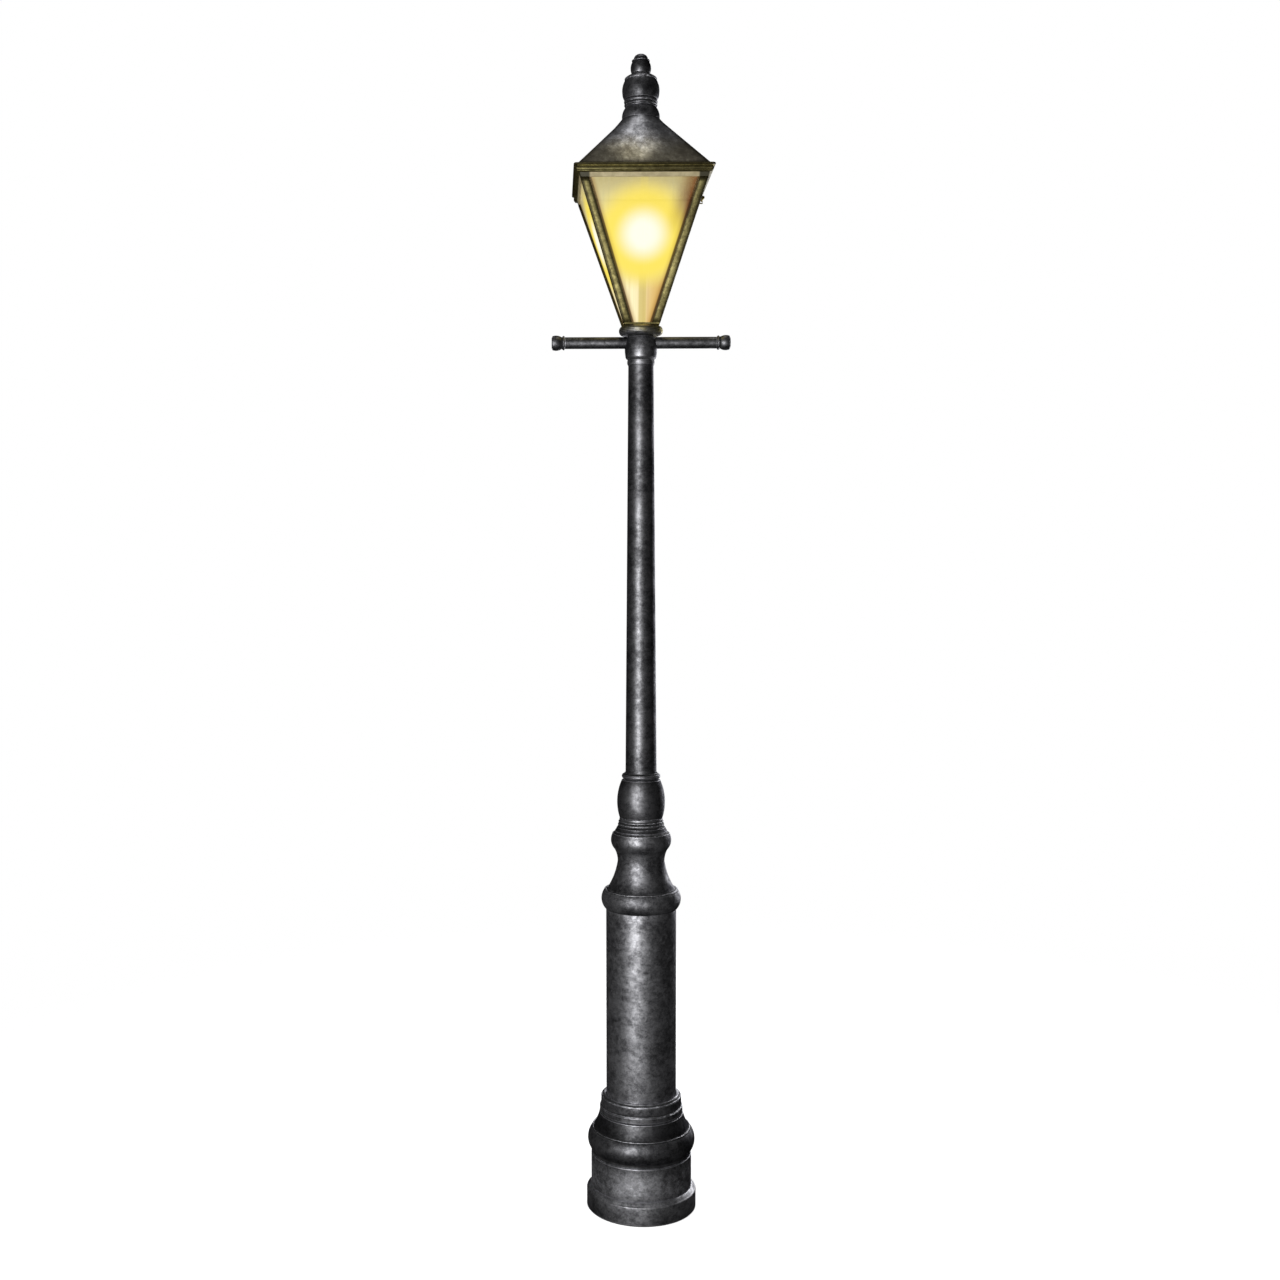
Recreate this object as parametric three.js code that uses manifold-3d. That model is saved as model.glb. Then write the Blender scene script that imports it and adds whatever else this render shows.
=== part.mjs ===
// A Victorian-style street lamp post: cast base and pedestal, tapered shaft, ladder bars and a
// square tapered lantern with a hinged canopy. Millimetres, +Z up, origin on the ground at the
// column's centre. The front faces -Y and the service door faces +Y.
import * as THREE from 'three';
import { ConvexGeometry } from 'three/addons/geometries/ConvexGeometry.js';
import { mergeVertices } from 'three/addons/utils/BufferGeometryUtils.js';
import Module from 'manifold-3d';

const wasm = await Module();
wasm.setup();

// ---------------------------------------------------------------- driving dimensions

const gap = 0.4; // between two pieces that touch
const sides = 24; // facets round a large casting
const smallSides = 12; // facets round a pin, screw or bar

const flange = { radius: 150, thickness: 20, cableHole: 50, boltCircle: 136, boltHole: 11 };
const plinth = { radius: 192, height: 80, shoulder: 66, inner: 153 };
const drum = { radius: 176, top: 194, wall: 10 };
const moulding = { top: 337, centre: 243, rise: 52, root: 168, swell: 20 };
const collar = { top: 405, step: 366 };
const casing = { radius: 122.5, wall: 6, top: 1062 };
const shoulder = { top: 1336, neck: 1233, neckRadius: 82 };
const neckCollar = { top: 1381 };
const barrel = { top: 1516, centre: 1438, radius: 83.5, arc: 172 };
const barrelRing = { top: 1541, radius: 67.5 };
const shaft = { bottom: 1200, top: 2990, lowZ: 1541, lowRadius: 54.2, highZ: 2944, highRadius: 43.5, wall: 4.5 };
const head = { bottom: 2951, top: 3082, radius: 76, urnCentre: 3014, urnRadius: 55.2, urnArc: 95 };
const ladder = { z: 3027, radius: 20, reach: 262, stub: 10, end: 307 };
const lantern = { bottom: 3088.6, top: 3553, baseZ: 3082, baseHalf: 60.5, topHalf: 214.5, bar: 28, leaf: 5, glass: 4 };
const rim = { half: 233, inner: 202, bottom: 3553.4, top: 3582, sheet: 4 };
const roof = { half: 225, radius: 64.5, top: 3781, sheet: 2.5, crown: 5 };
const lamp = { bulbCentre: 3392, bulbRadius: 37, holderZ: 3297, stem: 11 };
const canopyHinge = { y: 225, z: 3543, pin: 3.5, lug: 7 };
const door = { half: THREE.MathUtils.degToRad(30), bottom: 480, top: 880, clearance: 1.5, thickness: 5 };
const doorHinge = { radius: 130.5, angle: THREE.MathUtils.degToRad(33.5), knuckle: 6, pin: 3.2 };
const height = 4000;

const boreClearance = 1.0; // bore over the piece that it slides on
const shaftRadius = (z) =>
  shaft.lowRadius + ((z - shaft.lowZ) / (shaft.highZ - shaft.lowZ)) * (shaft.highRadius - shaft.lowRadius);
const faceSlope = (lantern.topHalf - lantern.baseHalf) / (lantern.top - lantern.baseZ);
const faceTilt = Math.atan(faceSlope);
const faceHalf = (z) => lantern.baseHalf + faceSlope * (z - lantern.baseZ); // lantern's outer half width

// ---------------------------------------------------------------- finishes

const finish = (color, roughness, metalness, more = {}) =>
  new THREE.MeshStandardMaterial({ color, roughness, metalness, ...more });

const paintedIron = finish('#3b3c3f', 0.55, 0.6);
const agedBronze = finish('#5a553f', 0.5, 0.6);
const bareSteel = finish('#8a8c90', 0.4, 0.9);
const amberGlass = finish('#f2d26a', 0.2, 0, { transparent: true, opacity: 0.6 });
const bulbGlass = finish('#fff4c8', 0.15, 0, { emissive: '#ffe9a0' });
const whiteEnamel = finish('#e8e6dc', 0.35, 0);
const porcelain = finish('#d9d4c6', 0.4, 0);
const blackPlastic = finish('#202123', 0.5, 0);
const plywood = finish('#9a7a52', 0.8, 0);

// ---------------------------------------------------------------- shape helpers

// A solid of revolution about Z. The outline is [radius, z] points, anticlockwise.
function turned(outline, segments = sides, closed = true) {
  const points = outline.map(([r, z]) => new THREE.Vector2(r, z));
  if (closed) points.push(points[0].clone());
  return new THREE.LatheGeometry(points, segments).rotateX(Math.PI / 2);
}

// The same outline carried round a square: [half width, z] points, with mitred corners.
function squareTurned(outline) {
  const points = outline.map(([half, z]) => new THREE.Vector2(half * Math.SQRT2, z));
  points.push(points[0].clone());
  return new THREE.LatheGeometry(points, 4, Math.PI / 4).rotateX(Math.PI / 2);
}

// Points of an ellipse's arc in the [radius, z] plane, angles in degrees from the radius axis.
function arc(r, z, across, up, from, to, steps) {
  return Array.from({ length: steps + 1 }, (_, i) => {
    const angle = THREE.MathUtils.degToRad(from + ((to - from) * i) / steps);
    return [r + across * Math.cos(angle), z + up * Math.sin(angle)];
  });
}

function box(x0, x1, y0, y1, z0, z1) {
  return new THREE.BoxGeometry(x1 - x0, y1 - y0, z1 - z0).translate((x0 + x1) / 2, (y0 + y1) / 2, (z0 + z1) / 2);
}

// A round bar from z0 to z1, standing at x, y.
function rod(radius, z0, z1, x = 0, y = 0, segments = smallSides) {
  return new THREE.CylinderGeometry(radius, radius, z1 - z0, segments)
    .rotateX(Math.PI / 2)
    .translate(x, y, (z0 + z1) / 2);
}

// A round bar along X, from x0 to x1.
function crossRod(radius, x0, x1, y, z, segments = smallSides) {
  return new THREE.CylinderGeometry(radius, radius, x1 - x0, segments)
    .rotateZ(Math.PI / 2)
    .translate((x0 + x1) / 2, y, z);
}

function toSolid(geometry) {
  const bare = geometry.clone();
  bare.deleteAttribute('normal');
  bare.deleteAttribute('uv');
  const merged = mergeVertices(bare, 1e-4);
  return new wasm.Manifold(
    new wasm.Mesh({
      numProp: 3,
      vertProperties: new Float32Array(merged.attributes.position.array),
      triVerts: new Uint32Array(merged.index.array),
    })
  );
}

function toGeometry(solid) {
  const mesh = solid.getMesh();
  const geometry = new THREE.BufferGeometry();
  geometry.setAttribute('position', new THREE.BufferAttribute(Float32Array.from(mesh.vertProperties), 3));
  geometry.setIndex(new THREE.BufferAttribute(Uint32Array.from(mesh.triVerts), 1));
  geometry.computeVertexNormals();
  return geometry;
}

const cut = (body, ...tools) =>
  toGeometry(tools.reduce((solid, tool) => solid.subtract(toSolid(tool)), toSolid(body)));
const join = (...pieces) => toGeometry(pieces.map(toSolid).reduce((solid, piece) => solid.add(piece)));

const post = new THREE.Group();

function add(name, geometry, material, parent = post) {
  const mesh = new THREE.Mesh(geometry, material);
  mesh.name = name;
  parent.add(mesh);
  return mesh;
}

// ---------------------------------------------------------------- base and pedestal

// Bolted to the foundation by four bolts; the supply cable comes up through the middle.
function flangePlate() {
  const { radius, thickness, cableHole, boltCircle, boltHole } = flange;
  const plate = turned([[cableHole, 0], [radius, 0], [radius, thickness], [cableHole, thickness]]);
  const holes = [0, 1, 2, 3].map((i) => {
    const angle = Math.PI / 4 + (i * Math.PI) / 2;
    return rod(boltHole, -5, thickness + 5, boltCircle * Math.cos(angle), boltCircle * Math.sin(angle));
  });
  add('flange_plate', cut(plate, ...holes), bareSteel);
}

// A wedge of the casing's wall, seen from above between two angles either side of +Y.
function wallWedge(inner, outer, halfAngle, z0, z1, steps = 8) {
  const shape = new THREE.Shape();
  shape.absarc(0, 0, outer, Math.PI / 2 - halfAngle, Math.PI / 2 + halfAngle, false);
  shape.absarc(0, 0, inner, Math.PI / 2 + halfAngle, Math.PI / 2 - halfAngle, true);
  return new THREE.ExtrudeGeometry(shape, { depth: z1 - z0, bevelEnabled: false, curveSegments: steps }).translate(0, 0, z0);
}

function pedestalCasing() {
  const inner = casing.radius - casing.wall;
  const tube = turned([
    [inner, flange.thickness + gap],
    [casing.radius, flange.thickness + gap],
    [casing.radius, casing.top],
    [inner, casing.top],
  ]);
  const doorway = wallWedge(inner - 20, casing.radius + 20, door.half, door.bottom, door.top, 1);
  add('pedestal_casing', cut(tube, doorway), paintedIron);
}

// Cast rings that slip down over the casing and cover the flange and its bolts.
function baseCastings() {
  const bore = casing.radius + boreClearance;
  add(
    'plinth_ring',
    turned([
      [plinth.inner, 0],
      [plinth.radius - 4, 0],
      [plinth.radius, 4],
      [plinth.radius, plinth.shoulder],
      [drum.radius + 2, plinth.height],
      [bore, plinth.height],
      [bore, plinth.shoulder],
      [plinth.inner, 40],
    ]),
    paintedIron
  );

  const drumInner = drum.radius - drum.wall;
  add(
    'base_drum',
    turned([
      [drumInner, plinth.height + gap],
      [drum.radius, plinth.height + gap],
      [drum.radius, drum.top],
      [bore, drum.top],
      [bore, drum.top - drum.wall],
      [drumInner, drum.top - drum.wall],
    ]),
    paintedIron
  );

  const { centre, rise, root, swell } = moulding;
  add(
    'base_moulding',
    turned([
      [root - 8, drum.top + gap],
      ...arc(root, centre, swell, rise, -68, 72, 6),
      [root - 3, centre + rise + 6],
      [149, moulding.top],
      [bore, moulding.top],
      [bore, moulding.top - 10],
      [root - 18, centre + rise - 4],
      [root + 6, centre],
    ]),
    paintedIron
  );

  add(
    'base_collar',
    turned([
      [bore, moulding.top + gap],
      [144, moulding.top + gap],
      [145.5, moulding.top + 9],
      [145.5, collar.step - 5],
      [141.5, collar.step],
      [141.5, collar.top - 8],
      [138, collar.top - 2],
      [133, collar.top],
      [bore, collar.top],
    ]),
    paintedIron
  );
}

// ---------------------------------------------------------------- shoulder, barrel and shaft

// Waisted casting on top of the casing, with a spigot inside it and a socket for the shaft.
function shoulderCasting() {
  const socket = shaftRadius(shaft.bottom) + boreClearance;
  const spigot = casing.radius - casing.wall - boreClearance;
  const waist = new THREE.SplineCurve(
    [[121, 1133], [106, 1161], [98.4, 1176], [89.5, 1196], [84.7, 1212], [shoulder.neckRadius, shoulder.neck], [84, 1250], [93, 1273]]
      .map(([r, z]) => new THREE.Vector2(r, z))
  );
  add(
    'shoulder_casting',
    turned([
      [spigot - 8, casing.top - 22],
      [spigot, casing.top - 22],
      [spigot, casing.top + gap],
      [casing.radius + 1.5, casing.top + gap],
      ...arc(casing.radius, 1095, 16.5, 32.5, -70, 75, 4),
      ...waist.getPoints(6).map(({ x, y }) => [x, y]),
      ...arc(92, 1303, 13, 29, -62, 75, 4),
      [91, shoulder.top],
      [socket, shoulder.top],
      [socket, shaft.bottom - 8],
      [spigot - 12, 1110],
    ]),
    paintedIron
  );
}

function barrelCastings() {
  const bore = shaftRadius(shoulder.top) + boreClearance;
  const { centre, radius, arc: round, top } = barrel;
  const barrelAt = (z) => [radius - round + Math.sqrt(round ** 2 - (z - centre) ** 2), z];
  const levels = Array.from({ length: 6 }, (_, i) => neckCollar.top + 3 + ((top - neckCollar.top - 3) * i) / 5);

  add(
    'neck_collar',
    turned([
      [bore, shoulder.top + gap],
      [92, shoulder.top + gap],
      [82.5, 1354],
      [80, 1357],
      [80.5, 1368],
      [77, neckCollar.top - 2],
      [bore, neckCollar.top],
    ]),
    paintedIron
  );
  add(
    'barrel_casting',
    turned([[bore, neckCollar.top + gap], [72, neckCollar.top + gap], ...levels.map(barrelAt), [bore, top]]),
    paintedIron
  );
  const ringBore = shaftRadius(top) + boreClearance;
  add(
    'barrel_ring',
    turned([
      [ringBore, top + gap],
      ...arc(barrelRing.radius - 8, (top + barrelRing.top) / 2, 8, 12, -80, 80, 4),
      [ringBore, barrelRing.top],
    ]),
    paintedIron
  );
}

function shaftTube() {
  const { bottom, top, wall } = shaft;
  add(
    'shaft_tube',
    turned([
      [shaftRadius(bottom) - wall, bottom],
      [shaftRadius(bottom), bottom],
      [shaftRadius(top), top],
      [shaftRadius(top) - wall, top],
    ]),
    paintedIron
  );
}

// ---------------------------------------------------------------- head casting and ladder bars

const urnAt = (z, grow = 0) => head.urnRadius - head.urnArc + Math.sqrt(head.urnArc ** 2 - (z - head.urnCentre) ** 2) + grow;

function headCasting() {
  const socket = shaftRadius(head.bottom) + boreClearance;
  const wireway = 14;
  const levels = [2975, 2985, 2999, 3014, 3030, 3044];
  const body = turned([
    [socket, head.bottom],
    [45.6, head.bottom],
    [46.8, head.bottom + 5],
    [46.8, head.bottom + 15],
    [45.4, head.bottom + 19],
    ...levels.map((z) => [urnAt(z), z]),
    [42, 3055],
    [66, 3053],
    ...arc(head.radius - 10, 3068, 10, 13, -65, 70, 3),
    [wireway, head.top],
    [wireway, shaft.top + 3],
    [socket, shaft.top + 3],
  ]);
  const sockets = [-1, 1].map((side) => crossRod(ladder.stub + 0.5, Math.min(side * 25, side * 70), Math.max(side * 25, side * 70), 0, ladder.z));
  const screwHoles = setScrewAngles.map((angle) => setScrewRod(angle, 4.4, 40, 60));
  add('head_casting', cut(body, ...sockets, ...screwHoles), paintedIron);
}

// Three set screws, evenly spaced, lock the head casting to the shaft.
const setScrewAngles = [90, 210, 330].map(THREE.MathUtils.degToRad);
const setScrewRod = (angle, radius, from, to) =>
  crossRod(radius, from, to, 0, head.bottom + 10, 12).rotateZ(angle);

function setScrews() {
  const tip = shaftRadius(head.bottom + 10) + 0.5;
  setScrewAngles.forEach((angle, i) => add(`head_set_screw_${i + 1}`, setScrewRod(angle, 4, tip, 46.6), bareSteel));
}

// Two bars for the ladder to rest on, each screwed into the head casting, with a knob on its end.
function ladderBars() {
  const urnCutter = turned(
    [[0, 2975], ...[2975, 2990, 3005, 3020, 3035, 3050].map((z) => [urnAt(z, gap), z]), [0, 3050]],
    sides,
    false
  );
  const bar = join(
    cut(crossRod(ladder.radius, 30, ladder.reach, 0, ladder.z, 16), urnCutter),
    crossRod(ladder.stub, 27, ladder.reach + 20, 0, ladder.z)
  );
  const { end, reach, stub } = ladder;
  const knob = turned([
    [stub + gap, reach + gap],
    [23, reach + gap],
    [24.5, reach + 2.5],
    [23.5, reach + 6],
    [20.5, reach + 8.5],
    ...arc(16, end - 17, 10.3, 15, -50, 55, 4),
    [19.5, end],
    [0, end],
    [0, reach + 22],
    [stub + gap, reach + 22],
  ], 16).rotateY(Math.PI / 2).translate(0, 0, ladder.z);
  for (const [side, turn] of [['right', 0], ['left', Math.PI]]) {
    const arm = new THREE.Group();
    arm.rotation.z = turn;
    post.add(arm);
    add(`ladder_bar_${side}`, bar, paintedIron, arm);
    add(`ladder_knob_${side}`, knob, paintedIron, arm);
  }
}

// ---------------------------------------------------------------- lantern

// Clamped to the head casting by the foot of the lamp stem, which screws down through it.
function lanternBasePlate() {
  const z0 = head.top + gap;
  const z1 = lantern.bottom - gap;
  const plate = box(-lantern.baseHalf, lantern.baseHalf, -lantern.baseHalf, lantern.baseHalf, z0, z1);
  add('lantern_base_plate', cut(plate, rod(lamp.stem + 0.5, z0 - 5, z1 + 5)), agedBronze);
}

const cornerNames = ['rear_right', 'rear_left', 'front_left', 'front_right'];
const faceNames = ['front', 'right', 'rear', 'left'];

// Four leaning angle bars, each along one corner of the lantern.
function cornerBars() {
  const { bar, leaf, bottom } = lantern;
  const barTop = lantern.top - 14.4;
  const half = faceHalf(bottom);
  const angle = new THREE.Shape(
    [[half, half], [half - bar, half], [half - bar, half - leaf], [half - leaf, half - leaf], [half - leaf, half - bar], [half, half - bar]]
      .map(([x, y]) => new THREE.Vector2(x, y))
  );
  const shape = new THREE.ExtrudeGeometry(angle, { depth: barTop - bottom, bevelEnabled: false });
  shape.applyMatrix4(new THREE.Matrix4().makeShear(0, 0, 0, 0, faceSlope, faceSlope)).translate(0, 0, bottom);
  cornerNames.forEach((name, i) => {
    add(`corner_bar_${name}`, shape, agedBronze).rotation.z = (i * Math.PI) / 2;
  });
}

// Square frame that ties the corner bars together and carries the canopy.
function topFrame() {
  const { top, leaf } = lantern;
  const bottom = top - 14;
  const ring = squareTurned([
    [faceHalf(bottom) - leaf, bottom],
    [faceHalf(bottom), bottom],
    [faceHalf(top), top],
    [faceHalf(top) - 22, top],
    [faceHalf(top) - 22, top - 2.4],
    [faceHalf(top - 2.4) - leaf, top - 2.4],
  ]);
  const guide = box(faceHalf(bottom) - 3, bolt.x + 6, bolt.tail + 18, bolt.tail + 42, bottom + 1, top - 7.5);
  add('top_frame', cut(join(ring, guide), boltRod(bolt.radius + 0.5, bolt.tail + 2, bolt.tail + 62)), agedBronze);
}

function glassPanes() {
  const { bottom, top, leaf, glass } = lantern;
  const [z0, z1] = [bottom + gap, top - 4.2];
  const inset = 16; // each side, clear of the next pane
  const slant = (z1 - z0) / Math.cos(faceTilt);
  const [low, high] = [faceHalf(z0) - inset, faceHalf(z1) - inset];
  const outline = new THREE.Shape([[-low, 0], [low, 0], [high, slant], [-high, slant]].map(([x, y]) => new THREE.Vector2(x, y)));
  const pane = new THREE.ExtrudeGeometry(outline, { depth: glass, bevelEnabled: false });
  const back = faceHalf(z0) - (leaf + 0.6) - glass / Math.cos(faceTilt);
  pane.rotateX(Math.PI / 2 + faceTilt).translate(0, -back, z0 + glass * Math.sin(faceTilt));
  faceNames.forEach((name, i) => {
    add(`glass_pane_${name}`, pane, amberGlass).rotation.z = (i * Math.PI) / 2;
  });
}

function lampUnit() {
  const { bulbCentre, bulbRadius, holderZ, stem } = lamp;
  const foot = lantern.bottom + gap;
  const stemWall = [[stem, 3055], [stem, foot], [28, foot], [28, foot + 5], [stem, foot + 9], [stem, holderZ]];
  add('lamp_stem', turned([[stem - 4, 3055], ...stemWall, [stem - 4, holderZ]], smallSides), agedBronze);
  add('lampholder', turned([[0, holderZ + gap], [17, holderZ + gap], [24, holderZ + 10], [24, 3344], [16, 3344], [16, 3312], [0, 3312]], 20, false), porcelain);
  add('lamp_cap', turned([[0, 3313], [6, 3313], [13.3, 3318], [13.3, 3339], [0, 3339]], smallSides, false), bareSteel);
  const bulb = [[0, 3339.5], [14, 3339.5], [15, 3348], ...arc(0, bulbCentre, bulbRadius, 58, -47, 80, 7), [0, bulbCentre + 58]];
  add('lamp_bulb', turned(bulb, 20, false), bulbGlass);
}

// ---------------------------------------------------------------- canopy, hinged at the rear

function canopyShell() {
  const { half, inner, bottom, top, sheet } = rim;
  add(
    'canopy_rim',
    squareTurned([
      [inner, bottom],
      [half - 13, bottom],
      [half - 7.5, bottom + 5.5],
      [half - 6, bottom + 12],
      [half - 8.5, bottom + 18.5],
      [half - 1, bottom + 21],
      [half, top - 3.5],
      [half - 2, top],
      [inner, top],
      [inner, top - sheet],
      [half - 15, top - sheet],
      [half - 11, bottom + 15],
      [half - 15, bottom + sheet],
      [inner, bottom + sheet],
    ]),
    agedBronze
  );

  // Sheet metal that runs from a square at the rim to a circle at the crown.
  const transition = (halfWidth, radius, z0, z1) => {
    const square = [[1, 1], [-1, 1], [-1, -1], [1, -1]].map(([x, y]) => new THREE.Vector3(x * halfWidth, y * halfWidth, z0));
    const circle = Array.from({ length: 24 }, (_, i) => {
      const angle = (i * Math.PI) / 12;
      return new THREE.Vector3(radius * Math.cos(angle), radius * Math.sin(angle), z1);
    });
    return new ConvexGeometry([...square, ...circle]);
  };
  const outside = transition(roof.half, roof.radius, top + gap, roof.top);
  const inside = transition(roof.half - roof.sheet + 1, roof.radius - roof.sheet, top + gap - 1, roof.top - roof.crown);
  add('canopy_roof', cut(outside, inside, rod(5.5, roof.top - 20, roof.top + 5)), agedBronze);

  // A shallow hood of sheet metal over the lamp, its edge let into the rim.
  const [edge, hood, skin] = [bottom + 7.6, 51, 1.6];
  add(
    'reflector',
    squareTurned([
      [40, edge + hood],
      [80, edge + hood],
      [190, edge],
      [212, edge],
      [212, edge + skin],
      [190.5, edge + skin],
      [81, edge + hood + skin],
      [40, edge + hood + skin],
    ]),
    whiteEnamel
  );
}

// Turned vent and finial pieces, threaded on one rod.
function finialStack() {
  const bore = 5.4;
  const stack = [
    ['vent_neck', [[64.5, 3781.4], ...arc(46, 3788, 18, 36, 0, 62, 4), [bore, 3822]]],
    ['vent_ring', [[53, 3822.4], [55.5, 3826], [54.5, 3832], [53, 3834], [57.5, 3838], [57.5, 3844], [55, 3847.5], [bore, 3847.5]]],
    ['finial_urn', [[55.5, 3848], ...arc(40, 3876, 23.8, 45, -38, 52, 6), [bore, 3911.6]]],
    ['finial_cap', [[52, 3912], [55.5, 3915], [55, 3919], [45, 3924], [35, 3931.5], [bore, 3931.5]]],
  ];
  for (const [name, outline] of stack) {
    const [, z0] = outline[0];
    add(name, turned([[bore, z0], ...outline]), paintedIron);
  }
  const knob = [[0, 3932], [31.5, 3932], ...arc(0, 3953, 35, 58, -20, 24, 5), [30.3, 3977.5], [28.5, 3979], ...arc(0, 3974, 26, 26, 15, 85, 4), [0, height]];
  add('finial_ball', cut(turned(knob, sides, false), rod(bore, 3920, 3962)), paintedIron);
  add('finial_rod', rod(5, roof.top - 25, 3960), bareSteel);
  add('finial_nut', cut(rod(10, 3764, 3774, 0, 0, 6), rod(bore, 3750, 3790)), bareSteel);
}

// A three-knuckle hinge under the rear edge of the rim.
function canopyHingeParts() {
  const { y, z, pin, lug } = canopyHinge;
  const [railY, ceiling] = [faceHalf(lantern.top) + gap, rim.bottom - gap];
  const foot = z - 11;
  const wedge = [[railY, lantern.top], [faceHalf(foot) + gap, foot], [railY + 2.2, foot], [railY + 2.2, lantern.top]];
  const plate = new THREE.ExtrudeGeometry(new THREE.Shape(wedge.map(([a, b]) => new THREE.Vector2(a, b))), {
    depth: 84,
    bevelEnabled: false,
  })
    .applyMatrix4(new THREE.Matrix4().makeBasis(new THREE.Vector3(0, 1, 0), new THREE.Vector3(0, 0, 1), new THREE.Vector3(1, 0, 0)))
    .translate(-42, 0, 0);
  const ears = [-34, 34].map((x) => join(crossRod(lug, x - 8, x + 8, y, z), box(x - 8, x + 8, railY + 1, y, z - 7, z + 5)));
  const hole = crossRod(pin + 0.4, -60, 60, y, z);
  add('hinge_frame_leaf', cut(join(plate, ...ears), hole), agedBronze);
  add('hinge_pin', crossRod(pin, -44, 44, y, z), bareSteel);
  const knuckle = join(crossRod(lug - 0.5, -25, 25, y, z), box(-25, 25, y - 3, y + 5.5, z, ceiling));
  add('hinge_canopy_leaf', cut(knuckle, hole), agedBronze);
}

// A small bolt slides along the right of the frame, through an eye that hangs from the rim.
const bolt = { x: 221, z: 3539, radius: 3, tip: 138, tail: 88, eyeY: 145 };

const boltRod = (radius, y0, y1) =>
  new THREE.CylinderGeometry(radius, radius, y1 - y0, smallSides).translate(bolt.x, (y0 + y1) / 2, bolt.z);

function canopyBoltParts() {
  const { x, z, radius, tip, tail, eyeY } = bolt;
  add('canopy_bolt', join(boltRod(radius, tail, tip), boltRod(5.5, tail - 8, tail)), bareSteel);
  const eye = box(x - 5.2, x + 5.2, eyeY, eyeY + 4, z - 7, rim.bottom - gap);
  const hole = radius + 0.8;
  add('bolt_eye', cut(eye, box(x - hole, x + hole, eyeY - 5, eyeY + 9, z - hole, z + hole)), agedBronze);
}

// ---------------------------------------------------------------- service door and its compartment

function serviceDoor() {
  const { bottom, top, clearance, thickness, half } = door;
  const outer = casing.radius;
  const panel = wallWedge(outer - thickness, outer, half - clearance / outer, bottom + clearance, top - clearance);
  add('service_door', cut(panel, lockRod(lockBarrel + 0.5, 90, 140)), paintedIron);

  const [hx, hy] = [doorHinge.radius * Math.sin(doorHinge.angle), doorHinge.radius * Math.cos(doorHinge.angle)];
  const { knuckle, pin } = doorHinge;
  for (const [place, z] of [['lower', 540], ['upper', 820]]) {
    // The block on the casing carries the pin, and the strap on the door lifts off it.
    const web = wallWedge(outer + gap, doorHinge.radius, 0.045, z - 16, z).rotateZ(-(doorHinge.angle + 0.05));
    const block = join(rod(knuckle, z - 16, z, hx, hy), rod(pin, z - 4, z + 18, hx, hy), web);
    add(`door_hinge_block_${place}`, block, paintedIron);
    const strap = wallWedge(outer + gap, outer + 5, 0.2, z + gap, z + 20).rotateZ(0.2 - doorHinge.angle);
    const eye = rod(pin + 0.4, z - 5, z + 30, hx, hy);
    add(`door_hinge_strap_${place}`, cut(join(rod(knuckle, z + gap, z + 20, hx, hy), strap), eye), paintedIron);
  }
  lockParts();
}

// Quarter-turn lock near the door's free edge, with a cam that swings behind the casing's wall.
const lockBarrel = 9;
const lockAngle = THREE.MathUtils.degToRad(22);
const lockZ = 680;
const lockRod = (radius, from, to) =>
  new THREE.CylinderGeometry(radius, radius, to - from, smallSides)
    .translate(0, (from + to) / 2, lockZ)
    .rotateZ(lockAngle);

function lockParts() {
  const cam = box(-7, 7, 104, 108, lockZ - 30, lockZ + 7).rotateZ(lockAngle);
  const key = box(-2, 2, 124, 130, lockZ - 5, lockZ + 5).rotateZ(lockAngle);
  add('door_lock', cut(join(lockRod(lockBarrel, 104, 123.5), lockRod(13, 123.3, 127), cam), key), bareSteel);
}

function electricGear() {
  add('backboard', box(-60, 60, -36, -20, 500, 860), plywood);
  for (const [place, z] of [['lower', 520], ['upper', 815]]) {
    add(`backboard_strap_${place}`, box(-104, 104, -46, -36.4, z, z + 25), bareSteel);
  }
  const pocket = box(-19, 19, -6, 30, 670, 740);
  add('cutout_base', cut(box(-35, 35, -19.6, 16, 640, 770), pocket), blackPlastic);
  add('fuse_carrier', join(box(-18.5, 18.5, -5.5, 17, 670.5, 739.5), box(-14, 14, 16, 34, 680, 730)), blackPlastic);
  add('earth_stud', join(crossRod(5, -113.2, -84, 20, 560), crossRod(9, -96, -90, 20, 560, 6)), bareSteel);
}

flangePlate();
pedestalCasing();
baseCastings();
shoulderCasting();
barrelCastings();
shaftTube();
headCasting();
setScrews();
ladderBars();
lanternBasePlate();
cornerBars();
topFrame();
glassPanes();
lampUnit();
canopyShell();
finialStack();
canopyHingeParts();
canopyBoltParts();
serviceDoor();
electricGear();

export default post;
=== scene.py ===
from math import atan, cos, pi, radians, sin, tan

import bmesh
import bpy
import numpy as np
from mathutils import Matrix, Vector


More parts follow.
